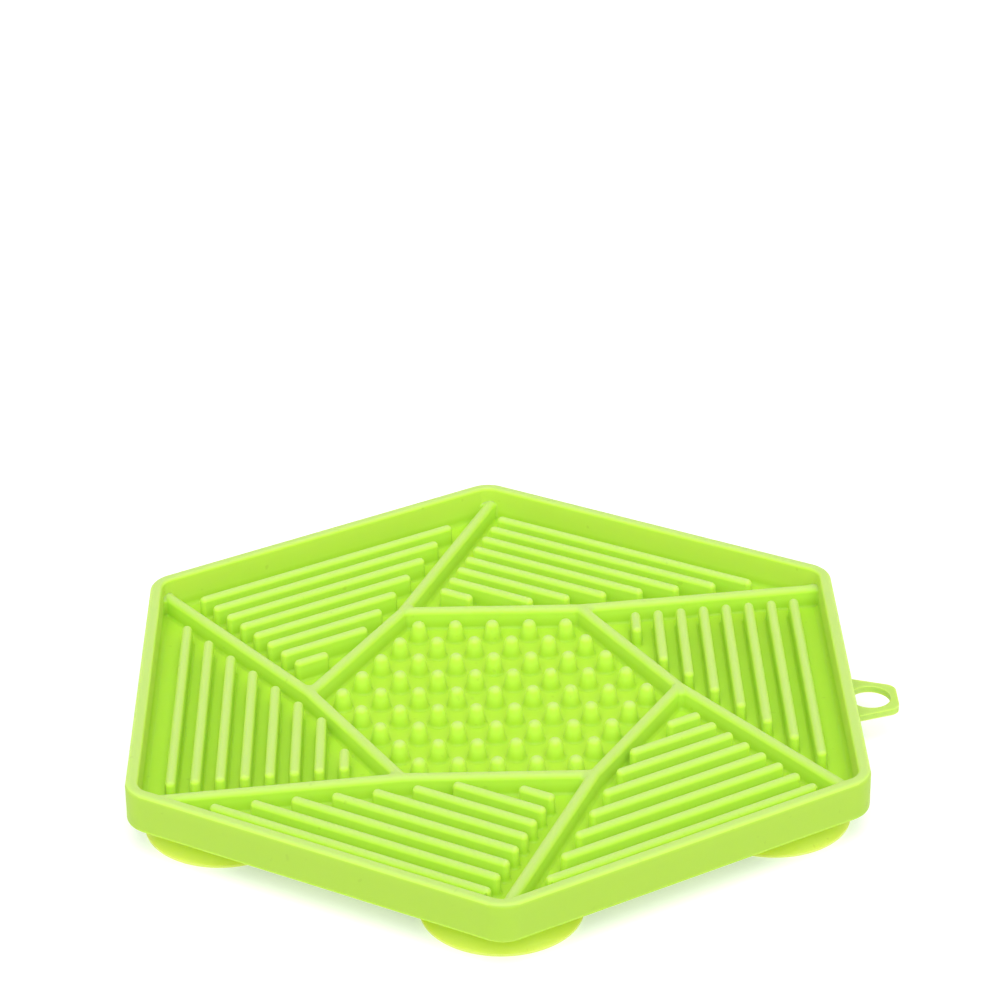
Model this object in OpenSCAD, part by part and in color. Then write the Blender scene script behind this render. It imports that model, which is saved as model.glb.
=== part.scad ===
// Hexagonal silicone lick mat that grips a floor or a wall with six plug-in suction cups.
// One moulding carries the rim, the dividers, the ribs, the nubs, the hanging loop and
// six blind sockets under its corners. Each cup's button turns freely in its socket.
// Lengths are in millimetres, +Z is up, and the cups' lips lie on the plane z = 0.

/* [Tray] */
// Outer width of the mat from one flat side to the opposite one
across_flats = 179.6; // [150:0.2:240]
// Plan radius of the mat's six outer corners
corner_r = 8; // [5:0.5:14]
// Thickness of the upright wall
wall_t = 3.1; // [2.4:0.1:4]
// Height of the wall from the underside of the mat to the top of the rim
tray_h = 10.8; // [8:0.1:18]
// Thickness of the floor between the ribs
floor_t = 1.3; // [1:0.1:3]
// Radius of the rim's outer top edge
rim_outer_round = 1.1; // [0.4:0.1:1.6]
// Radius of the rim's inner top edge
rim_inner_round = 0.6; // [0.2:0.1:1]
// Radius of the lower outer edge of the wall
foot_round = 1.2; // [0.4:0.1:1.6]
// Radius of the hollow curve between the wall and the floor
floor_round = 1; // [0.3:0.1:1.5]

/* [Dividers] */
// Width across flats of the middle hexagon, between the centre lines of its sides
middle_flats = 80.8; // [60:0.2:92]
// Width of the dividers, whose tops are fully round
divider_w = 3; // [2:0.1:3.1]
// Diameter of the round posts where dividers meet, a little over a divider's width
divider_post_d = 3.2; // [3.1:0.1:4]
// Height of the dividers and ribs above the floor
relief_h = 5.6; // [3:0.1:7]
// Angle by which each long divider stays short of the wall's corner
divider_lag = 0.5; // [0:0.1:2]

/* [Ribs] */
// Number of ribs in each of the six fields
rib_count = 8; // [3:1:8]
// Spacing of the ribs
rib_pitch = 6; // [5:0.1:7]
// Width of a rib, whose top is fully round
rib_w = 2.6; // [1.6:0.1:3]
// From the mat's outer side to the centre line of the nearest rib
rib_inset = 10.3; // [8:0.1:14]
// From the end of a rib to the centre line of a long divider
rib_end_gap = 5.2; // [3:0.1:8]
// From the end of the shortest rib to the centre line of the middle hexagon's side
short_rib_gap = 5.8; // [3:0.1:8]

/* [Nubs] */
// Number of nubs along each side of their hexagonal patch
nub_rows = 5; // [2:1:5]
// Spacing of the nubs
nub_pitch = 9.6; // [7:0.1:9.8]
// Height of a nub above the floor
nub_h = 5.5; // [4:0.1:7]
// Diameter of a nub where its taper meets the floor
nub_base_d = 4.5; // [3.8:0.1:5.4]
// Diameter of a nub's ball-shaped tip
nub_tip_d = 3.6; // [2:0.1:4]
// Width of the slope round a nub's foot
nub_flare = 0.8; // [0.3:0.1:1.5]

/* [Hanging loop] */
// How far the loop stands out from the side of the mat
loop_reach = 12.4; // [12:0.1:20]
// Width of the loop where it joins the mat
loop_root_w = 19.8; // [17:0.1:30]
// Width of the loop's outer side, between its corners if they were sharp
loop_tip_w = 10.8; // [8:0.1:16]
// Plan radius of the loop's two outer corners
loop_corner_r = 3; // [1:0.1:3.5]
// Thickness of the loop
loop_t = 1.8; // [1.2:0.1:3]
// Diameter of the hole in the loop
loop_hole_d = 10.4; // [6:0.1:10.6]
// Strip left between the hole and the side of the mat
loop_hole_strip = 0.2; // [0.1:0.1:1]

/* [Suction cups] */
// Diameter of a cup at its lip
cup_d = 39.2; // [28:0.1:44]
// Distance of a cup's axis from the outermost point of its corner
cup_inset = 25.3; // [23:0.1:32]
// Height of the cup's dome above its lip
dome_h = 4.5; // [3.5:0.1:8]
// Thickness of the cup at its crown
crown_t = 1.4; // [1:0.1:2]
// Width of the flat lip that meets the floor
lip_w = 0.8; // [0.5:0.1:2]
// Height of the lip's upright outer edge
lip_h = 0.7; // [0.4:0.1:1.5]
// Diameter of the cup's neck
neck_d = 6.4; // [4:0.1:8]
// Diameter of the button above the neck
button_d = 10; // [7:0.1:12]
// Thickness of the button
button_t = 1.6; // [1:0.1:2.5]
// Radius of the button's edges
button_round = 0.5; // [0.2:0.1:0.5]

/* [Sockets] */
// Diameter of the round boss that holds a socket
boss_d = 16; // [13:0.1:20]
// Thickness of the socket's narrow mouth
mouth_t = 1.2; // [1:0.1:2.5]
// Thickness of the mat left above a socket
roof_t = 1.1; // [0.8:0.1:2]
// Running clearance round the neck and the button
socket_play = 0.08; // [0.05:0.01:0.1]
// Clearance above and below the button
button_play = 0.1; // [0.05:0.01:0.2]
// Gap between a cup's crown and its boss
seat_gap = 0.3; // [0.2:0.1:0.6]

/* [Hidden] */
$fn = 48;

sides = 6;
turn = 360 / sides;
half_turn = turn / 2;
arc_steps = 3;
corner_steps = 6;
// How far a cut passes the face that it starts from
overrun = 0.5;

// Plan of the wall: half the width across flats, and the centres of the corner curves
apothem = across_flats / 2;
corner_line = apothem - corner_r;
corner_centre_r = corner_line / cos(half_turn);
corner_reach = corner_centre_r + corner_r;
inner_reach = corner_reach - wall_t;

// Heights, from the lips up
boss_z = dome_h + seat_gap;
button_z = boss_z + mouth_t + button_play;
socket_top_z = button_z + button_t + button_play;
floor_z = socket_top_z + roof_t;
tray_z = floor_z - floor_t;

// The middle hexagon's corner radius, and the long divider's run in its own field
middle_apothem = middle_flats / 2;
middle_r = middle_apothem / cos(half_turn);
divider_start = middle_r * [cos(turn), sin(turn)];
divider_aim = inner_reach * [cos(half_turn - divider_lag), sin(half_turn - divider_lag)];
divider_run = divider_aim - divider_start;
divider_angle = atan2(divider_run[1], divider_run[0]);
divider_l = norm(divider_run) + wall_t / 2;

// The domes of a cup: the radius of each sphere, from its rise and the radius of its rim
dome_rise = dome_h - lip_h;
dome_r = ball_radius(cup_d / 2, dome_rise);
hollow_rise = dome_h - crown_t;
hollow_r = ball_radius(cup_d / 2 - lip_w, hollow_rise);
cup_ring_r = corner_reach - cup_inset;

// The hanging loop sticks out of one side, so the mat is set off centre by half its reach
mat_x = -loop_reach / 2;

// Radius of the sphere whose cap has this rim radius and this rise
function ball_radius(rim_r, rise) = (rim_r * rim_r + rise * rise) / (2 * rise);

// Distance from the mat's centre to a rib's centre line, counted from the outside in
function rib_x(i) = apothem - rib_inset - i * rib_pitch;

// The rib's end beside the long divider that starts its field
function rib_top_y(x) =
    divider_start[1] + (x - divider_start[0]) * tan(divider_angle)
    - rib_end_gap / cos(divider_angle);

// The rib's end beside the next field's long divider, which leaves the middle on the X axis
function rib_low_y(x) =
    (x - middle_r) * tan(divider_angle - turn)
    + rib_end_gap / cos(divider_angle - turn);

// The shortest rib's end, beside the middle hexagon's side
function rib_short_y(x) =
    (middle_r - x) * tan(turn) + short_rib_gap / cos(turn);

// A bar from the origin along +X, standing on z = 0, with a fully round top
module bar(l, w) {
    translate([0, -w / 2, 0])
        cube([l, w, relief_h - w / 2]);
    translate([0, 0, relief_h - w / 2])
        rotate([0, 90, 0])
            cylinder(h = l, d = w);
}

// A round post with a ball for a top
module post(d, h) {
    cylinder(h = h - d / 2, d = d);
    translate([0, 0, h - d / 2])
        sphere(d = d);
}

// A rib from the origin along +X, round over its top and its two ends
module rib(l) {
    translate([rib_w / 2, 0, 0])
        bar(l - rib_w, rib_w);
    for (x = [rib_w / 2, l - rib_w / 2])
        translate([x, 0, 0])
            post(rib_w, relief_h);
}

// Points on a quarter circle, from one angle to another, both included
function arc(centre, r, from, to) = [
    for (i = [0 : arc_steps])
        centre + r * [
            cos(from + (to - from) * i / arc_steps),
            sin(from + (to - from) * i / arc_steps)
        ]
];

// Cross-section of the wall, from the underside outwards and up, measured from the line
// through the centres of the corner curves
function wall_section(inner_x) = concat(
    arc([corner_r - foot_round, foot_round], foot_round, -90, 0),
    arc([corner_r - rim_outer_round, tray_h - rim_outer_round], rim_outer_round, 0, 90),
    arc([inner_x + rim_inner_round, tray_h - rim_inner_round], rim_inner_round, 90, 180),
    arc([inner_x - floor_round, floor_t + floor_round], floor_round, 0, -90),
    [[inner_x - floor_round, 0]]
);

// A closed ring through a row of cross-sections that all have the same number of points
module ring_through(sections) {
    m = len(sections);
    n = len(sections[0]);
    polyhedron(
        points = [
            for (section = sections, p = section)
                p
        ],
        faces = [
            for (i = [0 : m - 1], j = [0 : n - 1])
                [
                    i * n + j,
                    i * n + (j + 1) % n,
                    (i + 1) % m * n + (j + 1) % n,
                    (i + 1) % m * n + j
                ]
        ]
    );
}

// The wall's cross-section carried round the hexagon and its rounded corners
module wall() {
    section = wall_section(corner_r - wall_t);
    ring_through([
        for (k = [0 : sides - 1], j = [0 : corner_steps])
            let (at = (k + 1 / 2) * turn, facing = (k + j / corner_steps) * turn)
                [
                    for (p = section)
                        [
                            corner_centre_r * cos(at) + p[0] * cos(facing),
                            corner_centre_r * sin(at) + p[0] * sin(facing),
                            p[1]
                        ]
                ]
    ]);
}

// The floor, which ends inside the wall
module floor_plate() {
    edge_r = corner_r - wall_t / 2;
    linear_extrude(floor_t)
        polygon([
            for (k = [0 : sides - 1], s = [-1, 1])
                corner_centre_r * [cos((k + 1 / 2) * turn), sin((k + 1 / 2) * turn)]
                + edge_r * [cos((k + 1 / 2 + s / 2) * turn), sin((k + 1 / 2 + s / 2) * turn)]
        ]);
}

// The middle hexagon and the six long dividers that spin out of its corners
module dividers() {
    post_h = relief_h + divider_post_d / 2 - divider_w / 2;
    for (k = [0 : sides - 1])
        rotate([0, 0, k * turn])
            translate([middle_r, 0, 0]) {
                post(divider_post_d, post_h);
                rotate([0, 0, 2 * turn])
                    bar(middle_r, divider_w);
                rotate([0, 0, divider_angle - turn])
                    bar(divider_l, divider_w);
            }
}

// The ribs of all six fields
module ribs() {
    for (k = [0 : sides - 1])
        rotate([0, 0, k * turn])
            for (i = [0 : rib_count - 1]) {
                x = rib_x(i);
                low = i < rib_count - 1 ? rib_low_y(x) : rib_short_y(x);
                translate([x, low, 0])
                    rotate([0, 0, 90])
                        rib(rib_top_y(x) - low);
            }
}

// One nub: a sloping foot, a taper, and a ball for a tip
module nub() {
    taper_h = nub_h - nub_tip_d / 2;
    foot_d = nub_base_d + 2 * nub_flare;
    cylinder(h = foot_d / 2, d1 = foot_d, d2 = 0);
    cylinder(h = taper_h, d1 = nub_base_d, d2 = nub_tip_d);
    translate([0, 0, taper_h])
        sphere(d = nub_tip_d);
}

// A hexagonal patch of nubs in rows along X
module nubs() {
    last = nub_rows - 1;
    for (row = [-last : last])
        for (i = [0 : 2 * last - abs(row)])
            translate([
                (i - last + abs(row) / 2) * nub_pitch,
                row * nub_pitch * sin(turn),
                0
            ])
                nub();
}

// The loop at the side of the mat, flush with its underside
module hanging_loop() {
    root = apothem - wall_t / 2;
    tip = apothem + loop_reach;
    slant = atan2(loop_root_w - loop_tip_w, 2 * loop_reach);
    root_y = loop_root_w / 2 + (apothem - root) * tan(slant);
    round_x = tip - loop_corner_r;
    round_y = loop_tip_w / 2 - loop_corner_r * (1 - sin(slant)) / cos(slant);
    touch_x = round_x + loop_corner_r * sin(slant);
    touch_y = round_y + loop_corner_r * cos(slant);
    difference() {
        linear_extrude(loop_t) {
            polygon([
                [root, -root_y], [touch_x, -touch_y], [tip, -round_y],
                [tip, round_y], [touch_x, touch_y], [root, root_y]
            ]);
            for (y = [-round_y, round_y])
                translate([round_x, y])
                    circle(loop_corner_r);
        }
        translate([apothem + loop_hole_strip + loop_hole_d / 2, 0, -overrun])
            cylinder(h = loop_t + 2 * overrun, d = loop_hole_d);
    }
}

// Puts what it holds on the axis of each suction cup in turn
module at_cup(k) {
    rotate([0, 0, -90 + k * turn])
        translate([cup_ring_r, 0, 0])
            children();
}

// The mat, one soft moulding
module tray() {
    color([0.7, 0.92, 0.3])
        translate([mat_x, 0, 0])
            difference() {
                union() {
                    translate([0, 0, tray_z]) {
                        wall();
                        floor_plate();
                        hanging_loop();
                    }
                    translate([0, 0, floor_z]) {
                        dividers();
                        ribs();
                        nubs();
                    }
                    for (k = [0 : sides - 1])
                        at_cup(k)
                            translate([0, 0, boss_z])
                                cylinder(h = tray_z - boss_z + floor_t / 2, d = boss_d);
                }
                for (k = [0 : sides - 1])
                    at_cup(k)
                        socket();
            }
}

// The space in a boss: a narrow mouth under a wider chamber
module socket() {
    translate([0, 0, boss_z - overrun])
        cylinder(h = mouth_t + 2 * overrun, d = neck_d + 2 * socket_play);
    translate([0, 0, boss_z + mouth_t])
        cylinder(h = socket_top_z - boss_z - mouth_t, d = button_d + 2 * socket_play);
}

// Half of a suction cup's cross-section, from its axis outwards
module cup_section() {
    difference() {
        intersection() {
            translate([0, dome_h - dome_r])
                circle(dome_r);
            square([cup_d / 2, dome_h]);
        }
        translate([0, hollow_rise - hollow_r])
            circle(hollow_r);
    }
    translate([0, dome_h - crown_t / 2])
        square([neck_d / 2, button_z + button_t / 2 - dome_h + crown_t / 2]);
    translate([0, button_z])
        button_section();
}

// Half of the button's cross-section
module button_section() {
    flat_r = button_d / 2 - button_round;
    square([flat_r, button_t]);
    translate([0, button_round])
        square([button_d / 2, button_t - 2 * button_round]);
    for (z = [button_round, button_t - button_round])
        translate([flat_r, z])
            circle(button_round);
}

// One suction cup, counted round the mat from the front
module suction_cup(k) {
    color([0.76, 0.9, 0.3])
        translate([mat_x, 0, 0])
            at_cup(k)
                rotate_extrude()
                    cup_section();
}

tray();
suction_cup(0);  // suction_cup_front
suction_cup(1);  // suction_cup_front_right
suction_cup(2);  // suction_cup_back_right
suction_cup(3);  // suction_cup_back
suction_cup(4);  // suction_cup_back_left
suction_cup(5);  // suction_cup_front_left
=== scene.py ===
"""The soft silicone look of a hexagonal lick mat, built round its CAD frame."""

import math

import bmesh
import bpy
from mathutils import Matrix, Vector


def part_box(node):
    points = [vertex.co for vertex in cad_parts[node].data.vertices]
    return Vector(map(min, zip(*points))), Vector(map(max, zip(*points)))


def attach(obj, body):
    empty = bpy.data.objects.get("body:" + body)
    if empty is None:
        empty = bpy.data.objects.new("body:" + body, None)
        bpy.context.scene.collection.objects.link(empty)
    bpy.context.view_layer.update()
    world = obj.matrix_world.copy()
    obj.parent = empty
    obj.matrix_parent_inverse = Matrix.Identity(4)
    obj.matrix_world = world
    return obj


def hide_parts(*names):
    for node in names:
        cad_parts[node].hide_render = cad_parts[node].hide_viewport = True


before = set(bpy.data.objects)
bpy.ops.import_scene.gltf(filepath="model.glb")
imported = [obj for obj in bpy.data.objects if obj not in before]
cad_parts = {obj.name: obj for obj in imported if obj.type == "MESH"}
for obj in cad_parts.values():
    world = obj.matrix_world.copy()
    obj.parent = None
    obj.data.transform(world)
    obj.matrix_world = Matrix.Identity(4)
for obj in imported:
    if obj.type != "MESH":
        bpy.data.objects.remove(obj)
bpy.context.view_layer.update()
TRAY_LOW, TRAY_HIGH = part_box("tray")
CUP_LOW, CUP_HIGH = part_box("suction_cup_front")

bl_info = {
    "name": "Lick Mat",
    "version": (1, 0, 0),
    "blender": (4, 5, 0),
    "location": "3D View > Sidebar > Lick Mat",
    "description": "Models a silicone lick mat with ribs, nubs and plug-in suction cups",
    "category": "Add Mesh",
}

SIDES = 6
TURN = math.tau / SIDES
HALF_TURN = TURN / 2
RIBS_IN_FIELD = 8
NUB_RINGS = 4
CUP_CORNERS = ("front", "front_right", "back_right", "back", "back_left", "front_left")
MM = 0.001
# Corners that are nearer to each other than this are one corner.
TOUCH = 0.001 * MM
# How far the ribs, the nubs and the dividers start below the floor.
SUNK = 0.3 * MM
# How far the edge of a hollow foot dips into the floor.
DIP = 0.04 * MM


def length(name, description, default):
    """A size of the mat in metres."""
    return bpy.props.FloatProperty(
        name=name, description=description, default=default,
        min=0.0, unit="LENGTH", subtype="DISTANCE", precision=5,
    )


def colour(name, description, default):
    """A colour of one of the finishes."""
    return bpy.props.FloatVectorProperty(
        name=name, description=description, default=default,
        size=3, min=0.0, max=1.0, subtype="COLOR",
    )


def share(name, description, default):
    """A plain number from nothing to one."""
    return bpy.props.FloatProperty(
        name=name, description=description, default=default, min=0.0, max=1.0, subtype="FACTOR",
    )


def strength(name, description, default):
    """The strength of a light."""
    return bpy.props.FloatProperty(name=name, description=description, default=default, min=0.0)


def angle_setting(name, description, degrees):
    """An angle, given in degrees."""
    return bpy.props.FloatProperty(
        name=name, description=description, default=math.radians(degrees), subtype="ANGLE",
    )


class LickMatSizes(bpy.types.PropertyGroup):
    """Sizes of the moulding and of its suction cups."""

    across_flats: length("Across flats", "Outer width of the mat between opposite flat sides", 0.1796)
    corner_radius: length("Corner radius", "Plan radius of the mat's outer corners", 0.008)
    wall: length("Wall", "Thickness of the upright wall", 0.0031)
    rim_outer: length("Rim outer rounding", "Radius of the rim's outer top edge", 0.0013)
    rim_inner: length("Rim inner rounding", "Radius of the rim's inner top edge", 0.0009)
    foot_rounding: length("Foot rounding", "Radius of the wall's lower outer edge", 0.0012)
    floor_rounding: length("Floor rounding", "Hollow radius between the wall and the floor", 0.0014)
    underside: length("Underside height", "Height of the mat's underside above the ground", 0.0076)
    floor: length("Floor height", "Height of the floor between the ribs", 0.0089)
    relief: length("Relief", "Height of the ribs and dividers above the floor", 0.0056)
    middle_flats: length("Middle hexagon", "Width of the middle hexagon over its centre lines", 0.0808)
    divider: length("Divider width", "Width of the dividers", 0.003)
    rib: length("Rib width", "Width of a rib", 0.0026)
    rib_pitch: length("Rib spacing", "Spacing of the ribs", 0.006)
    rib_inset: length("Rib inset", "From the mat's side to the nearest rib's centre line", 0.0103)
    rib_end_gap: length("Rib end gap", "From a rib's end to a long divider's centre line", 0.0052)
    short_rib_gap: length("Short rib gap", "From the shortest rib to the middle hexagon", 0.0058)
    nub: length("Nub width", "Width of a nub's tip", 0.0036)
    nub_height: length("Nub height", "Height of a nub above the floor", 0.0055)
    nub_pitch: length("Nub spacing", "Spacing of the nubs", 0.0096)
    loop_reach: length("Loop reach", "How far the loop stands out from the mat's side", 0.0124)
    loop_root: length("Loop root", "Width of the loop where it joins the mat", 0.0198)
    loop_tip: length("Loop tip", "Width of the loop's outer side", 0.0108)
    loop_thickness: length("Loop thickness", "Thickness of the loop", 0.0018)
    loop_hole: length("Loop hole", "Width of the hole in the loop", 0.0104)
    cup: length("Cup width", "Width of a suction cup at its lip", 0.0392)
    cup_inset: length("Cup inset", "From a corner's outermost point to its cup's axis", 0.0253)
    boss: length("Boss width", "Width of the round boss that holds a cup", 0.016)


class LickMatFinish(bpy.types.PropertyGroup):
    """Colours of the silicone."""

    body: colour("Mat", "The mat's main colour", (0.54, 0.79, 0.086))
    body_deep: colour("Mat, deeper", "The deeper tone that clouds the mat's colour", (0.51, 0.77, 0.070))
    # Painted shade: a duller, darker tone on the faces that look outwards, mostly the wall's outer side.
    painted_shade_outside: colour("Mat, outside", "The duller tone of the wall's outer side", (0.365, 0.56, 0.053))
    # Painted shade: a fuller, darker green low down, full at the floor and fading out 3 mm above it, in
    # place of the shade in the creases and between the ribs.
    painted_shade_low: colour("Mat, floor", "The full tone of the floor and of the creases", (0.41, 0.65, 0.040))
    # Painted light: a fresher, lighter tone on the faces that look inwards, mostly the wall's inner side.
    painted_light_inside: colour("Mat, inside", "The fresher tone of the wall's inner side", (0.56, 0.77, 0.09))
    # Painted highlight: a paler tone on the high, upward-facing tops of the ribs, nubs, dividers and rim,
    # where a sheen would light them.
    painted_sheen_tops: colour("Mat, paler", "The paler tone of the upper edges", (0.43, 0.59, 0.160))
    body_loop: colour("Mat, loop", "The tone of the thin hanging loop", (0.43, 0.60, 0.115))
    cup: colour("Cups", "The cups' main colour", (0.67, 0.95, 0.17))
    cup_deep: colour("Cups, deeper", "The deeper tone in the cups", (0.64, 0.93, 0.15))
    speck: colour("Specks", "The colour of the specks of dust", (0.16, 0.25, 0.03))
    speck_share: share("Speck strength", "How dark the specks of dust are", 0.12)


class LickMatStudio(bpy.types.PropertyGroup):
    """The camera's place, the floor and the strength of the light."""

    azimuth: angle_setting("Azimuth", "Turn of the camera round the mat", -0.979)
    elevation: angle_setting("Elevation", "Height of the camera above the horizon", 28.167)
    roll: angle_setting("Roll", "Tilt of the camera about its own line of sight", -0.499)
    distance: length("Distance", "From the camera to the point that it looks at", 0.99642)
    aim: bpy.props.FloatVectorProperty(
        name="Aim", description="The point that the camera looks at",
        default=(-0.002746, 0.100454, 0.01405), size=3, unit="LENGTH", subtype="XYZ",
    )
    lens: bpy.props.FloatProperty(
        name="Lens", description="Focal length in millimetres", default=129.354, min=1.0,
    )
    floor_size: length("Floor size", "Width of the studio floor", 30.0)
    floor_tone: share("Floor tone", "How pale the studio floor is", 0.70)
    table: strength("Light table", "Strength of the light that the floor gives from below", 0.38)
    key: strength("Key light", "Strength of the broad soft light from the front", 2.6)
    key_width: angle_setting("Key width", "How wide the key light looks from the mat", 55)
    sky: strength("Surroundings", "Strength of the even light all round", 0.70)


def deselect_all():
    """Leaves edit mode and selects nothing."""
    if bpy.context.object and bpy.context.object.mode != "OBJECT":
        bpy.ops.object.mode_set(mode="OBJECT")
    bpy.ops.object.select_all(action="DESELECT")


def take(piece):
    """Selects one piece alone and makes it the active one."""
    deselect_all()
    piece.select_set(True)
    bpy.context.view_layer.objects.active = piece


def found(name):
    """The piece of that name, or an error that says which is missing."""
    piece = bpy.data.objects.get(name)
    if piece is None:
        raise RuntimeError(f"the piece {name} has to be made first")
    return piece


def pick(piece, test):
    """In edit mode, selects the vertices that pass the test, and says how many there are."""
    bpy.ops.mesh.select_mode(type="VERT")
    bpy.ops.mesh.select_all(action="DESELECT")
    mesh = bmesh.from_edit_mesh(piece.data)
    chosen = [v for v in mesh.verts if test(v.co)]
    for vertex in chosen:
        vertex.select = True
    mesh.select_flush_mode()
    bmesh.update_edit_mesh(piece.data)
    return len(chosen)


def pick_edges(piece, test):
    """In edit mode, selects the edges whose two ends pass the test together."""
    bpy.ops.mesh.select_mode(type="EDGE")
    bpy.ops.mesh.select_all(action="DESELECT")
    mesh = bmesh.from_edit_mesh(piece.data)
    for edge in mesh.edges:
        if test(edge.verts[0].co, edge.verts[1].co):
            edge.select = True
    mesh.select_flush_mode()
    bmesh.update_edit_mesh(piece.data)


def extrude(rise):
    """In edit mode, extrudes what is selected straight up."""
    bpy.ops.mesh.extrude_region_move(TRANSFORM_OT_translate={"value": (0, 0, rise)})


def face_outwards():
    """Turns the faces of the piece in edit mode outwards and leaves edit mode."""
    bpy.ops.mesh.select_all(action="SELECT")
    bpy.ops.mesh.normals_make_consistent(inside=False)
    bpy.ops.object.mode_set(mode="OBJECT")


def keep_place():
    """Keeps the active piece's place, turn and scale in its mesh."""
    bpy.ops.object.transform_apply(location=True, rotation=True, scale=True)


def set_down(piece, place, angle=0.0):
    """Turns a piece about the upright, moves it and keeps that in its mesh."""
    take(piece)
    piece.location = place
    piece.rotation_euler = (0, 0, angle)
    keep_place()


def another(piece, name):
    """A copy with a mesh of its own."""
    take(piece)
    bpy.ops.object.duplicate(linked=False)
    twin = bpy.context.object
    twin.name = name
    return twin


def join(pieces, name):
    """Makes one piece of several that don't touch."""
    deselect_all()
    for piece in pieces:
        piece.select_set(True)
    bpy.context.view_layer.objects.active = pieces[0]
    bpy.ops.object.join()
    pieces[0].name = name
    return pieces[0]


def combine(piece, other, how):
    """Unites another piece with this one, or cuts it out of this one."""
    take(piece)
    before = len(piece.data.polygons)
    bpy.ops.object.modifier_add(type="BOOLEAN")
    modifier = piece.modifiers[-1]
    modifier.operation = how
    modifier.solver = "MANIFOLD"
    modifier.object = other
    bpy.ops.object.modifier_apply(modifier=modifier.name)
    if len(piece.data.polygons) == before:
        raise RuntimeError(f"{other.name} and {piece.name} could not be combined")
    bpy.data.objects.remove(other)


def rounding(middle, radius, first, last, steps):
    """(radius, height) points along a rounded edge, between two angles in degrees."""
    points = []
    for i in range(steps + 1):
        angle = math.radians(first + (last - first) * i / steps)
        points.append((middle[0] + radius * math.cos(angle), middle[1] + radius * math.sin(angle)))
    return points


def turned(name, levels, around):
    """A closed round piece, extruded and resized from one (radius, height) level to the next."""
    deselect_all()
    radius, height = levels[0]
    bpy.ops.mesh.primitive_circle_add(
        vertices=around, radius=radius, fill_type="NGON",
        location=(0, 0, height), rotation=(0, 0, math.pi / around),
    )
    piece = bpy.context.object
    piece.name = name
    keep_place()
    bpy.ops.object.mode_set(mode="EDIT")
    bpy.ops.mesh.select_all(action="SELECT")
    for next_radius, next_height in levels[1:]:
        extrude(next_height - height)
        growth = next_radius / radius
        bpy.ops.transform.resize(value=(growth, growth, 1), center_override=(0, 0, next_height))
        radius, height = next_radius, next_height
    face_outwards()
    return piece


def smooth(piece, angle):
    """Shades a piece smoothly over edges flatter than the angle, and evens its normals."""
    take(piece)
    bpy.ops.object.shade_smooth_by_angle(angle=math.radians(angle))
    bpy.ops.object.modifier_add(type="WEIGHTED_NORMAL")
    modifier = piece.modifiers[-1]
    modifier.mode = "FACE_AREA"
    modifier.weight = 50
    modifier.keep_sharp = True
    bpy.ops.object.modifier_apply(modifier=modifier.name)


def cover(piece, material):
    """Gives a piece one material all over."""
    piece.data.materials.clear()
    piece.data.materials.append(material)


def mat_centre():
    """The mat's own centre, which the loop at its side sets off from the origin."""
    sizes = bpy.context.scene.lick_mat_sizes
    return Vector((TRAY_LOW.x + sizes.across_flats / 2, 0, 0))


def corner_out(sizes):
    """How far the middle of an outer corner's rounding is from the mat's centre."""
    return (sizes.across_flats / 2 - sizes.corner_radius) / math.cos(HALF_TURN)


def turned_by(point, angle):
    """A point of the plan, turned about the mat's centre."""
    return Vector((
        point.x * math.cos(angle) - point.y * math.sin(angle),
        point.x * math.sin(angle) + point.y * math.cos(angle),
    ))


class LICKMAT_OT_pan(bpy.types.Operator):
    """Moulds the floor, the wall and the rim as a round pan and pulls it out to a hexagon"""

    bl_idname = "lickmat.pan"
    bl_label = "Make the Pan"

    def execute(self, context):
        s = context.scene.lick_mat_sizes
        outside = s.corner_radius
        inside = outside - s.wall
        rim = TRAY_HIGH.z
        foot, dish = s.foot_rounding, s.floor_rounding
        levels = rounding((outside - foot, s.underside + foot), foot, -90, 0, steps=5)
        levels += rounding((outside - s.rim_outer, rim - s.rim_outer), s.rim_outer, 0, 90, steps=6)
        levels += rounding((inside + s.rim_inner, rim - s.rim_inner), s.rim_inner, 90, 180, steps=5)
        levels += rounding((inside - dish, s.floor + dish), dish, 0, -90, steps=6)
        pan = turned("pan", levels, around=12 * SIDES)
        bpy.ops.object.mode_set(mode="EDIT")
        out = corner_out(s)
        for k in range(SIDES):
            facing = k * TURN + HALF_TURN
            towards = Vector((math.cos(facing), math.sin(facing)))
            pick(pan, lambda p: p.xy.normalized().dot(towards) > math.cos(HALF_TURN))
            bpy.ops.transform.translate(value=(out * towards.x, out * towards.y, 0))
        bpy.ops.object.mode_set(mode="OBJECT")
        return {"FINISHED"}


class LICKMAT_OT_dividers(bpy.types.Operator):
    """Pulls a disc to the plan of a bent divider, raises it level by level and copies it"""

    bl_idname = "lickmat.dividers"
    bl_label = "Make the Dividers"

    def execute(self, context):
        s = context.scene.lick_mat_sizes
        (half, height), *upper = divider_levels(s)
        outline = divider_outline(s, half)
        deselect_all()
        bpy.ops.mesh.primitive_circle_add(
            vertices=len(outline), radius=s.divider, fill_type="NGON", location=(0, 0, height),
        )
        divider = bpy.context.object
        divider.name = "divider_0"
        keep_place()
        disc = [vertex.co.xy.copy() for vertex in divider.data.vertices]
        bpy.ops.object.mode_set(mode="EDIT")
        pull_outline(divider, height, disc, outline)
        for half, next_height in upper:
            pick(divider, lambda p: abs(p.z - height) < TOUCH)
            extrude(next_height - height)
            height = next_height
            next_outline = divider_outline(s, half)
            pull_outline(divider, height, outline, next_outline)
            outline = next_outline
        face_outwards()
        # Every other divider is a hair lower, so that no two crests lie in one plane.
        lower = 0.004 * MM
        for k in range(1, SIDES):
            twin = another(divider, f"divider_{k}")
            set_down(twin, (0, 0, -lower * (k % 2)), k * TURN)
        return {"FINISHED"}


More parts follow.
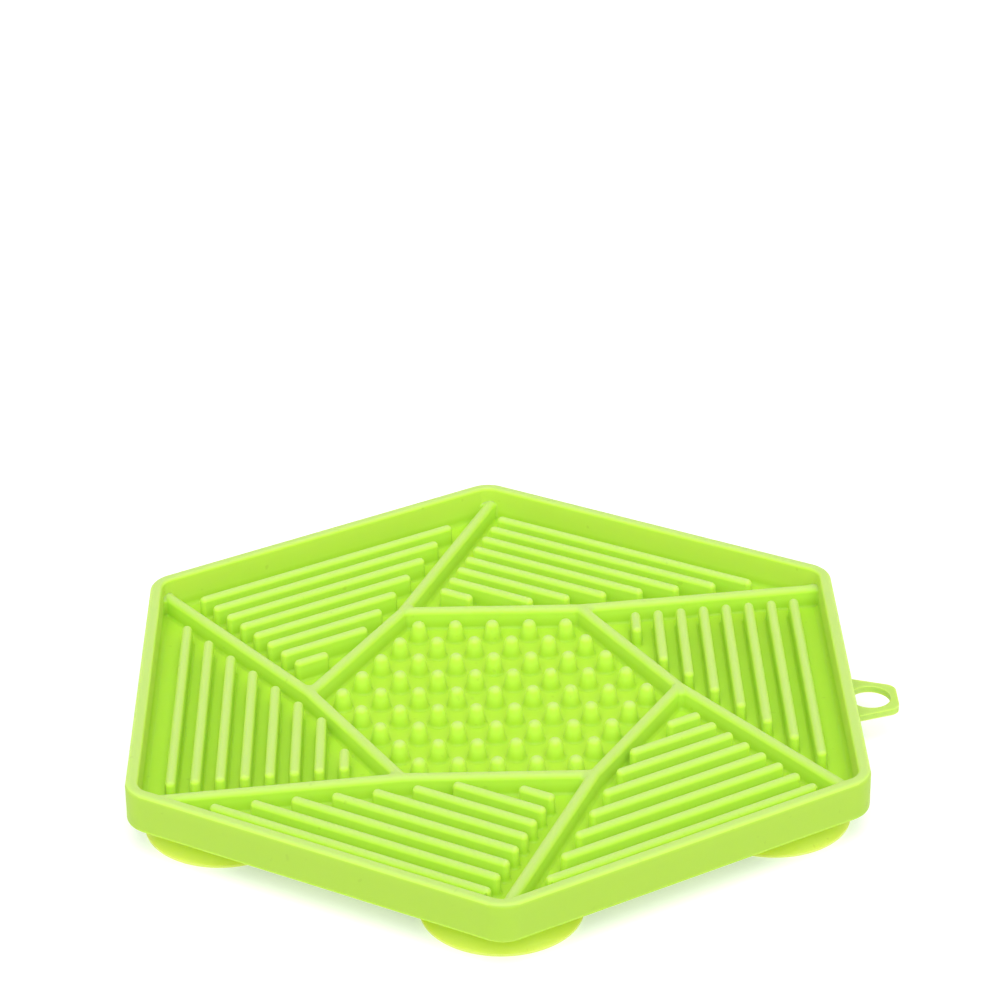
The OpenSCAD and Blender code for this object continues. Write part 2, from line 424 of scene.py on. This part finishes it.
def divider_levels(sizes):
    """The (half width, height) levels of a divider: its hollow foot, then its round crest."""
    crown = sizes.divider / 2
    flare = 0.9 * MM
    foot = sizes.floor - DIP
    top = sizes.floor + sizes.relief
    levels = [(crown + flare, sizes.floor - SUNK)]
    for degrees in (0, 18, 36, 54, 72, 90):
        angle = math.radians(degrees)
        levels.append((crown + flare * (1 - math.sin(angle)), foot + flare * (1 - math.cos(angle))))
    for degrees in (0, 17, 34, 50, 66, 83):
        angle = math.radians(degrees)
        levels.append((crown * math.cos(angle), top - crown * (1 - math.sin(angle))))
    return levels


def pull_outline(piece, height, old, new):
    """In edit mode, moves each corner of a level from its old place in the plan to its new one."""
    for start, end in zip(old, new):
        if (end - start).length < TOUCH:
            continue
        place = Vector((start.x, start.y, height))
        if pick(piece, lambda p: (p - place).length < TOUCH) != 1:
            raise RuntimeError(f"{piece.name} has no single corner at {tuple(place)}")
        bpy.ops.transform.translate(value=(end.x - start.x, end.y - start.y, 0))


def divider_line(sizes):
    """The corner where a long divider starts, and the place on the wall that it runs to."""
    start = sizes.middle_flats / 2 / math.cos(HALF_TURN)
    reach = corner_out(sizes) + sizes.corner_radius - sizes.wall
    lag = math.radians(0.5)
    towards = Vector((math.cos(-HALF_TURN - lag), math.sin(-HALF_TURN - lag)))
    return Vector((start, 0)), reach * towards


def divider_outline(sizes, half):
    """The plan of a divider at one level, from its end in the wall to that in the next divider."""
    start, aim = divider_line(sizes)
    along = (aim - start).normalized()
    side = Vector((-along.y, along.x))
    far = turned_by(start, TURN)
    back = (start - far).normalized()
    onward = turned_by(along, TURN)
    outward = Vector((-onward.y, onward.x))
    inward = Vector((-1, 0))
    upward = Vector((0, 1))

    # The end in the wall: where its two corners are buried, and the blend on each side.
    buried = 2.3 * MM
    right, left, left_short = 2.0 * MM, 1.0 * MM, 0.5 * MM
    wall_blend = 0.2 * MM + 0.4 * half
    tip = aim + along * buried
    right_edge = wall_end(sizes, start - side * half, along, -TURN, -1, wall_blend)
    left_edge = wall_end(sizes, start + side * half, along, 0.0, 1, wall_blend)

    # The end in the next divider: a head that lies along it, with a hollow curve on each side.
    head_blend = 1.2 * MM
    head = 2.8 * MM
    sink = 0.03 * MM
    deep = 1.6 * half
    outer_bend = corner_between(start, along, -back, half)
    outer = hollow(corner_between(far, back, onward, half), back, onward, head_blend, 6)
    inner = hollow(corner_between(far, inward, back, half), inward, back, head_blend, 5)
    outer_end = outer[-1] + onward * head
    inner_end = inner[0] + inward * head

    outline = [tip - side * right, *right_edge[::-1]]
    outline += [2 * start - outer_bend, *inner[::-1]]
    outline += [inner_end + upward * sink, inner_end + upward * deep]
    outline += [far + (upward + outward).normalized() * 0.5 * half]
    outline += [outer_end + outward * deep, outer_end + outward * sink]
    outline += [*outer[::-1], outer_bend]
    outline += [*left_edge, tip + side * left - along * left_short]
    return outline[::-1] if signed_area(outline) < 0 else outline


def wall_end(sizes, edge, along, facing, hand, radius):
    """One edge of a divider, from its hollow curve to a point in the wall that faces that way."""
    beyond, buried = 0.3 * MM, 2.1 * MM
    normal = Vector((math.cos(facing), math.sin(facing)))
    away = hand * Vector((-normal.y, normal.x))
    inner_face = sizes.across_flats / 2 - sizes.wall
    corner = edge + along * (inner_face - normal.dot(edge)) / normal.dot(along)
    curve = hollow(corner, -along, away, radius, 6)
    return curve + [curve[-1] + away * beyond + normal * buried]


def signed_area(outline):
    """The area of an outline, above nothing where it runs anticlockwise."""
    pairs = zip(outline, outline[1:] + outline[:1])
    return sum(a.x * b.y - b.x * a.y for a, b in pairs) / 2


def hollow(corner, first, second, radius, steps):
    """The hollow curve in a corner whose sides leave in two directions, from first to second."""
    gap = math.atan2(first.x * second.y - first.y * second.x, first.dot(second))
    reach = radius / math.tan(abs(gap) / 2)
    middle = corner + (first + second).normalized() * math.hypot(radius, reach)
    begin = corner + first * reach - middle
    sweep = gap - math.copysign(math.pi, gap)
    return [middle + turned_by(begin, sweep * i / steps) for i in range(steps + 1)]


def corner_between(start, first, second, half):
    """Where the edges of two bars that leave one point meet, turning left from first to second."""
    gap = math.atan2(first.x * second.y - first.y * second.x, first.dot(second)) % math.tau
    middle = math.atan2(first.y, first.x) + gap / 2
    return start + half / math.sin(gap / 2) * Vector((math.cos(middle), math.sin(middle)))


class LICKMAT_OT_ribs(bpy.types.Operator):
    """Turns one round post, pulls it out to each rib's length, and copies the ribs to six fields"""

    bl_idname = "lickmat.ribs"
    bl_label = "Make the Ribs"

    def execute(self, context):
        s = context.scene.lick_mat_sizes
        half = s.rib / 2
        flare = 0.75 * MM
        levels = [(half + flare, s.floor - SUNK)]
        levels += rounding((half + flare, s.floor + flare - DIP), flare, 270, 180, steps=4)
        levels += rounding((0, s.floor + s.relief - half), half, 0, 84, steps=6)
        post = turned("rib_post", levels, around=20)
        field = []
        for i in range(RIBS_IN_FIELD):
            x, low, top = rib_line(s, i)
            rib = another(post, f"rib_{i}")
            bpy.ops.object.mode_set(mode="EDIT")
            pick(rib, lambda p: p.y > 0)
            bpy.ops.transform.translate(value=(0, top - low - s.rib, 0))
            set_down(rib, (x, low + half, 0))
            field.append(rib)
        bpy.data.objects.remove(post)
        fields = [join(field, "rib_field_0")]
        for k in range(1, SIDES):
            twin = another(fields[0], f"rib_field_{k}")
            set_down(twin, (0, 0, 0), k * TURN)
            fields.append(twin)
        join(fields, "ribs")
        return {"FINISHED"}


def rib_line(sizes, i):
    """How far out a rib of the right-hand field lies, and where its two ends are."""
    start, aim = divider_line(sizes)
    slope_low = math.atan2(aim.y - start.y, aim.x - start.x)
    slope_top = slope_low + TURN
    top_start = turned_by(start, TURN)
    x = sizes.across_flats / 2 - sizes.rib_inset - i * sizes.rib_pitch
    top = top_start.y + (x - top_start.x) * math.tan(slope_top)
    top -= sizes.rib_end_gap / math.cos(slope_top)
    if i == RIBS_IN_FIELD - 1:
        low = (start.x - x) * math.tan(TURN) + sizes.short_rib_gap / math.cos(TURN)
    else:
        low = (x - start.x) * math.tan(slope_low) + sizes.rib_end_gap / math.cos(slope_low)
    return x, low, top


class LICKMAT_OT_nubs(bpy.types.Operator):
    """Turns one ball-tipped nub with a hollow foot and sets out the patch of sixty-one"""

    bl_idname = "lickmat.nubs"
    bl_label = "Make the Nubs"

    def execute(self, context):
        s = context.scene.lick_mat_sizes
        tip = s.nub / 2
        foot = 0.9 * MM
        waist = tip + 0.55 * MM
        tapers = ((0.15 * MM, 1.9 * MM), (0.33 * MM, 3.0 * MM))
        levels = [(waist + foot, s.floor - SUNK)]
        levels += rounding((waist + foot, s.floor + foot - DIP), foot, 270, 188, steps=5)
        levels += [(waist - taper, s.floor + height) for taper, height in tapers]
        levels += rounding((0, s.floor + s.nub_height - tip), tip, 4, 84, steps=6)
        master = turned("nub_master", levels, around=16)
        nubs = []
        for row in range(-NUB_RINGS, NUB_RINGS + 1):
            y = row * s.nub_pitch * math.sin(TURN)
            for i in range(2 * NUB_RINGS + 1 - abs(row)):
                x = (i - NUB_RINGS + abs(row) / 2) * s.nub_pitch
                nub = another(master, "nub")
                set_down(nub, (x, y, 0))
                nubs.append(nub)
        bpy.data.objects.remove(master)
        join(nubs, "nubs")
        return {"FINISHED"}


class LICKMAT_OT_hanging_loop(bpy.types.Operator):
    """Shapes the flat hanging loop, its round hole and its soft edges"""

    bl_idname = "lickmat.hanging_loop"
    bl_label = "Make the Hanging Loop"

    def execute(self, context):
        s = context.scene.lick_mat_sizes
        buried = 1.0 * MM
        corner_rounding = 2.1 * MM
        edge_rounding = 0.45 * MM
        strip = 0.2 * MM
        past = 2 * MM
        bore = s.loop_hole / 2
        thickness = s.loop_thickness
        side = s.across_flats / 2
        root = side - buried
        tip = side + s.loop_reach
        deselect_all()
        bpy.ops.mesh.primitive_cube_add(
            size=1, location=((root + tip) / 2, 0, s.underside + thickness / 2),
            scale=(tip - root, s.loop_root, thickness),
        )
        loop = bpy.context.object
        loop.name = "hanging_loop"
        keep_place()
        bpy.ops.object.mode_set(mode="EDIT")
        pick(loop, lambda p: p.x > side)
        taper = s.loop_tip / s.loop_root
        bpy.ops.transform.resize(value=(1, taper, 1), center_override=(tip, 0, s.underside))
        pick_edges(loop, lambda a, b: min(a.x, b.x) > side and abs(a.z - b.z) > thickness / 2)
        bpy.ops.mesh.bevel(
            offset=corner_rounding, segments=7, affect="EDGES", offset_type="OFFSET",
        )
        bpy.ops.object.mode_set(mode="OBJECT")
        ends = [(bore, s.underside - past), (bore, s.underside + thickness + past)]
        hole = turned("loop_hole", ends, around=48)
        set_down(hole, (side + strip + bore, 0, 0))
        combine(loop, hole, "DIFFERENCE")
        take(loop)
        bpy.ops.object.modifier_add(type="BEVEL")
        bevel = loop.modifiers[-1]
        bevel.width = edge_rounding
        bevel.segments = 3
        bevel.limit_method = "ANGLE"
        bevel.angle_limit = math.radians(60)
        bpy.ops.object.modifier_apply(modifier=bevel.name)
        return {"FINISHED"}


class LICKMAT_OT_sockets(bpy.types.Operator):
    """Turns a boss with a hollow root and the socket that is cut into it, six times"""

    bl_idname = "lickmat.sockets"
    bl_label = "Make the Cup Sockets"

    def execute(self, context):
        s = context.scene.lick_mat_sizes
        radius = s.boss / 2
        face = CUP_LOW.z + 4.8 * MM
        edge = 0.5 * MM
        root = 0.8 * MM
        into = 0.03 * MM
        sunk = 0.5 * MM
        levels = rounding((radius - edge, face + edge), edge, -90, 0, steps=3)
        levels += rounding((radius + root, s.underside - root + into), root, 180, 90, steps=4)
        levels += [(radius + root, s.underside + sunk)]
        boss = turned("boss", levels, around=48)

        mouth, chamber = 3.28 * MM, 5.08 * MM
        past, chamfer = 0.2 * MM, 0.3 * MM
        lip, depth = 1.2 * MM, 3.0 * MM
        levels = [(mouth + past + chamfer, face - past), (mouth, face + chamfer), (mouth, face + lip)]
        levels += [(chamber, face + lip), (chamber, face + depth)]
        socket = turned("socket", levels, around=48)

        bosses, sockets = [], []
        for place, angle in cup_places(s):
            for master, row in ((boss, bosses), (socket, sockets)):
                twin = another(master, master.name + "_copy")
                set_down(twin, place, angle)
                row.append(twin)
        bpy.data.objects.remove(boss)
        bpy.data.objects.remove(socket)
        join(bosses, "bosses")
        join(sockets, "socket_spaces")
        return {"FINISHED"}


def cup_places(sizes):
    """Where the six cups stand round the mat's centre, and how far each is turned."""
    out = corner_out(sizes) + sizes.corner_radius - sizes.cup_inset
    angles = [-math.pi / 2 + k * TURN for k in range(SIDES)]
    return [((out * math.cos(a), out * math.sin(a), 0), a) for a in angles]


class LICKMAT_OT_moulding(bpy.types.Operator):
    """Unites the pan and all that stands on it into one soft moulding and finishes it"""

    bl_idname = "lickmat.moulding"
    bl_label = "Unite the Moulding"

    def execute(self, context):
        tray = found("pan")
        dividers = [f"divider_{k}" for k in range(SIDES)]
        for name in (*dividers, "ribs", "nubs", "hanging_loop", "bosses"):
            combine(tray, found(name), "UNION")
        combine(tray, found("socket_spaces"), "DIFFERENCE")
        tray.name = "soft_tray"
        set_down(tray, mat_centre())
        smooth(tray, angle=48)
        cover(tray, silicone("matt_lime_silicone", context.scene.lick_mat_finish, clear=False))
        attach(tray, "mat")
        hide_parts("tray")
        return {"FINISHED"}


class LICKMAT_OT_suction_cups(bpy.types.Operator):
    """Turns one suction cup with its neck and button, and copies it under each corner"""

    bl_idname = "lickmat.suction_cups"
    bl_label = "Make the Suction Cups"

    def execute(self, context):
        master = turned("cup_master", cup_levels(context.scene.lick_mat_sizes), around=72)
        finish = context.scene.lick_mat_finish
        skin = silicone("clear_lime_silicone_skin", finish, clear=True)
        centre = mat_centre()
        places = cup_places(context.scene.lick_mat_sizes)
        for corner, (place, angle) in zip(CUP_CORNERS, places):
            cup = another(master, "soft_cup_" + corner)
            set_down(cup, Vector(place) + centre, angle)
            smooth(cup, angle=50)
            cover(cup, skin)
            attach(cup, "cup_" + corner)
            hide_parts("suction_cup_" + corner)
        bpy.data.objects.remove(master)
        return {"FINISHED"}


def dome_radius(rim, rise):
    """The radius of a ball whose cap is as wide as the rim and rises that far."""
    return (rim ** 2 + rise ** 2) / (2 * rise)


def cup_levels(sizes):
    """The (radius, height) levels of a cup: its hollow, its lip, its dome, its neck and its button."""
    rim = sizes.cup / 2
    top = CUP_HIGH.z
    pole = 0.4 * MM

    inner_rim, inner_rise = rim - 0.8 * MM, 3.1 * MM
    inner = dome_radius(inner_rim, inner_rise)
    levels = []
    for i in range(8):
        radius = pole + (inner_rim - pole) * i / 8
        levels.append((radius, inner_rise - inner + math.sqrt(inner ** 2 - radius ** 2)))
    levels.append((inner_rim, 0.0))

    lip = 0.3 * MM
    levels += rounding((rim - lip, lip), lip, -90, 0, steps=3)

    lip_step, shoulder = 0.02 * MM, 4.2 * MM
    crown, dome_rise = 4.5 * MM, 3.8 * MM
    outer = dome_radius(rim, dome_rise)
    for i in range(11):
        radius = rim - lip_step - (rim - shoulder) * i / 10
        levels.append((radius, crown - outer + math.sqrt(outer ** 2 - radius ** 2)))

    neck, button = 3.2 * MM, 5.0 * MM
    thick, edge = 1.6 * MM, 0.5 * MM
    for out, up in ((0.4 * MM, 0.02 * MM), (0.1 * MM, 0.2 * MM), (0.0, 0.5 * MM)):
        levels.append((neck + out, crown + up))
    levels += [(neck, top - thick)]
    levels += rounding((button - edge, top - thick + edge), edge, -90, 0, steps=3)
    levels += rounding((button - edge, top - edge), edge, 0, 90, steps=3)
    return levels + [(pole, top)]


def add_node(tree, kind, place, inputs, **settings):
    """A node with its settings, each named input given a value or linked to an output."""
    node = tree.nodes.new(kind)
    node.location = place
    for key, value in settings.items():
        setattr(node, key, value)
    for key, value in inputs.items():
        if isinstance(value, bpy.types.NodeSocket):
            tree.links.new(value, node.inputs[key])
        else:
            node.inputs[key].default_value = value
    return node


def noise(tree, place, spot, scale, detail, roughness=0.5):
    """A cloudy pattern that keeps its place on the piece."""
    inputs = {"Vector": spot, "Scale": scale, "Detail": detail, "Roughness": roughness}
    return add_node(tree, "ShaderNodeTexNoise", place, inputs).outputs["Fac"]


def ramp(tree, place, value, start, end, low=0.0, high=1.0):
    """A value that goes from low to high as another goes from start to end."""
    inputs = {"Value": value, "From Min": start, "From Max": end, "To Min": low, "To Max": high}
    return add_node(tree, "ShaderNodeMapRange", place, inputs).outputs["Result"]


def blend(tree, place, factor, first, second):
    """A tone between a first one and a second, which is a plain colour."""
    inputs = {"Factor": factor, "A": first, "B": (*second, 1)}
    return add_node(tree, "ShaderNodeMix", place, inputs, data_type="RGBA").outputs["Result"]


def worked_out(tree, kind, place, operation, first, second):
    """The outputs of a node that works out a sum of two terms."""
    return add_node(tree, kind, place, {0: first, 1: second}, operation=operation).outputs


def part(tree, place, vector, axis):
    """One of a vector's three parts."""
    return add_node(tree, "ShaderNodeSeparateXYZ", place, {"Vector": vector}).outputs[axis]


def silicone(name, finish, clear):
    """Moulded silicone, matt or semi-clear: clouded colour, a few specks and a fine grain, and on the
    matt mat painted light and shade.
    """
    material = bpy.data.materials.new(name)
    material.use_nodes = True
    tree = material.node_tree
    tree.nodes.clear()
    place = add_node(tree, "ShaderNodeTexCoord", (-1100, 0), {}).outputs
    spot = place["Object"]

    main, deep = (finish.cup, finish.cup_deep) if clear else (finish.body, finish.body_deep)
    cloud = noise(tree, (-800, 200), spot, scale=28.0, detail=3.0)
    tone = blend(tree, (-500, 200), cloud, (*deep, 1), main)
    if not clear:
        tone = tones_and_painted_light(tree, spot, place["Normal"], tone, finish)
    dust = noise(tree, (-800, 500), spot, scale=420.0, detail=1.0)
    specks = ramp(tree, (-500, 500), dust, 0.735, 0.78, high=finish.speck_share)
    tone = blend(tree, (0, 300), specks, tone, finish.speck)

    grain = noise(tree, (-800, -400), spot, scale=1400.0, detail=4.0, roughness=0.6)
    smoothest, roughest = (0.30, 0.42) if clear else (0.46, 0.62)
    gloss = ramp(tree, (-250, -300), grain, 0.0, 1.0, smoothest, roughest)
    relief = {"Strength": 0.10, "Distance": 0.12 * MM, "Height": grain}
    bump = add_node(tree, "ShaderNodeBump", (200, -400), relief)
    shader = add_node(tree, "ShaderNodeBsdfPrincipled", (600, 0), {
        "Base Color": tone,
        "Roughness": gloss,
        "Normal": bump.outputs["Normal"],
        "IOR": 1.41,
        "Specular IOR Level": 0.4,
        "Subsurface Weight": 1.0,
        "Subsurface Radius": (1.0, 1.0, 0.35),
        "Subsurface Scale": 5 * MM if clear else 2 * MM,
    })
    add_node(tree, "ShaderNodeOutputMaterial", (900, 0), {"Surface": shader.outputs["BSDF"]})
    return material


def tones_and_painted_light(tree, spot, normal, tone, finish):
    """The mat's tones: painted light on the wall's inner side, painted shade on its outer side and low
    down at the floor and the creases, the hanging loop's own tone, and a painted highlight on the high,
    upward-facing crests.
    """
    sizes = bpy.context.scene.lick_mat_sizes
    side = sizes.across_flats / 2
    kind = "ShaderNodeVectorMath"
    centred = worked_out(tree, kind, (-1100, 700), "SUBTRACT", spot, mat_centre())["Vector"]
    # How far out a face lies, above nothing where it looks outwards and below where it looks in.
    facing = worked_out(tree, kind, (-900, 700), "DOT_PRODUCT", centred, normal)["Value"]
    across = part(tree, (-900, 950), centred, "X")
    height = part(tree, (-800, -100), spot, "Z")
    slope = part(tree, (-800, -250), normal, "Z")

    # Each row: what is measured, the tone, where the tone starts and where it is full.
    for row, (measure, shade, start, full) in enumerate((
        # Painted light on the inward-facing inner side of the wall.
        (facing, finish.painted_light_inside, 7.0 * MM - side, 3.6 * MM - side),
        # Painted shade low down, on the floor and in the creases.
        (height, finish.painted_shade_low, sizes.floor + 3.0 * MM, sizes.floor + 0.2 * MM),
        # Painted shade on the outward-facing outer side of the wall.
        (facing, finish.painted_shade_outside, side - 5.0 * MM, side - 1.0 * MM),
        (across, finish.body_loop, side + 0.2 * MM, side + 1.5 * MM),
    )):
        y = 700 + 250 * row
        strength_here = ramp(tree, (-700, y), measure, start, full)
        tone = blend(tree, (-450, y), strength_here, tone, shade)

    # Painted highlight: high surfaces that face upwards are mixed towards the paler tone, as a sheen
    # would light them.
    low, high = sizes.floor + 2.3 * MM, sizes.floor + 4.9 * MM
    upper = ramp(tree, (-500, -100), height, low, high, high=0.9)
    level = ramp(tree, (-500, -300), slope, 0.35, 0.95)
    crests = worked_out(tree, "ShaderNodeMath", (-380, -100), "MULTIPLY", upper, level)["Value"]
    return blend(tree, (-250, 200), crests, tone, finish.painted_sheen_tops)


class LICKMAT_OT_stage(bpy.types.Operator):
    """Sets the pale floor, the soft studio light and the camera"""

    bl_idname = "lickmat.stage"
    bl_label = "Set the Stage"

    def execute(self, context):
        studio = context.scene.lick_mat_studio
        lay_floor(studio)
        set_light(context.scene, studio)
        set_camera(context.scene, studio)
        context.scene.view_settings.view_transform = "Standard"
        return {"FINISHED"}


def lay_floor(studio):
    """A wide pale floor that glows a little, as a light table does."""
    deselect_all()
    bpy.ops.mesh.primitive_grid_add(x_subdivisions=8, y_subdivisions=8, size=studio.floor_size)
    ground = bpy.context.object
    ground.name = "studio_floor"
    paper = bpy.data.materials.new("pale_studio_floor")
    paper.use_nodes = True
    coat = paper.node_tree.nodes["Principled BSDF"]
    tone = studio.floor_tone
    coat.inputs["Base Color"].default_value = (tone, tone, tone, 1)
    coat.inputs["Emission Color"].default_value = (1, 1, 1, 1)
    coat.inputs["Emission Strength"].default_value = studio.table
    coat.inputs["Roughness"].default_value = 0.9
    coat.inputs["Specular IOR Level"].default_value = 0.1
    ground.data.materials.append(paper)


def set_light(scene, studio):
    """Even light all round, and one broad soft light from high in front."""
    world = bpy.data.worlds.new("studio_surroundings")
    scene.world = world
    world.use_nodes = True
    sky = world.node_tree.nodes["Background"]
    sky.inputs["Color"].default_value = (1, 1, 1, 1)
    sky.inputs["Strength"].default_value = studio.sky

    deselect_all()
    bpy.ops.object.light_add(type="SUN", location=(0.02, -0.75, 1.15))
    key = bpy.context.object
    key.name = "soft_key"
    key.data.energy = studio.key
    key.data.angle = studio.key_width
    key.rotation_euler = key.location.to_track_quat("Z", "Y").to_euler()


def set_camera(scene, studio):
    """The camera, on the line of sight that the settings give."""
    deselect_all()
    bpy.ops.object.camera_add()
    camera = bpy.context.object
    camera.name = "studio_camera"
    sight = (
        Matrix.Rotation(studio.azimuth, 4, "Z")
        @ Matrix.Rotation(math.pi / 2 - studio.elevation, 4, "X")
        @ Matrix.Rotation(studio.roll, 4, "Z")
    )
    back = sight.to_3x3() @ Vector((0, 0, 1))
    place = Vector(studio.aim) + back * studio.distance
    camera.matrix_world = Matrix.Translation(place) @ sight
    camera.data.sensor_fit = "HORIZONTAL"
    camera.data.sensor_width = 36.0
    camera.data.lens = studio.lens
    camera.data.clip_start = 0.01
    camera.data.clip_end = 50.0
    scene.camera = camera


OPERATORS = (
    LICKMAT_OT_stage,
    LICKMAT_OT_pan,
    LICKMAT_OT_dividers,
    LICKMAT_OT_ribs,
    LICKMAT_OT_nubs,
    LICKMAT_OT_hanging_loop,
    LICKMAT_OT_sockets,
    LICKMAT_OT_moulding,
    LICKMAT_OT_suction_cups,
)


class LICKMAT_PT_panel(bpy.types.Panel):
    """The steps that make the mat, in order, with its sizes and finish"""

    bl_label = "Lick Mat"
    bl_idname = "LICKMAT_PT_panel"
    bl_space_type = "VIEW_3D"
    bl_region_type = "UI"
    bl_category = "Lick Mat"

    def draw(self, context):
        scene = context.scene
        column = self.layout.column(align=True)
        for step in OPERATORS:
            column.operator(step.bl_idname)
        for group in (scene.lick_mat_sizes, scene.lick_mat_finish, scene.lick_mat_studio):
            box = self.layout.box()
            for key in group.bl_rna.properties.keys():
                if key not in ("rna_type", "name"):
                    box.prop(group, key)


CLASSES = (LickMatSizes, LickMatFinish, LickMatStudio, *OPERATORS, LICKMAT_PT_panel)


def register():
    """Adds the classes and the mat's settings to Blender."""
    for item in CLASSES:
        bpy.utils.register_class(item)
    bpy.types.Scene.lick_mat_sizes = bpy.props.PointerProperty(type=LickMatSizes)
    bpy.types.Scene.lick_mat_finish = bpy.props.PointerProperty(type=LickMatFinish)
    bpy.types.Scene.lick_mat_studio = bpy.props.PointerProperty(type=LickMatStudio)


def unregister():
    """Takes the classes and the settings out again."""
    del bpy.types.Scene.lick_mat_studio
    del bpy.types.Scene.lick_mat_finish
    del bpy.types.Scene.lick_mat_sizes
    for item in reversed(CLASSES):
        bpy.utils.unregister_class(item)


def main():
    """Makes the stage and every piece in turn."""
    register()
    for step in OPERATORS:
        category, name = step.bl_idname.split(".")
        getattr(getattr(bpy.ops, category), name)()
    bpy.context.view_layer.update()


if __name__ == "__main__":
    main()
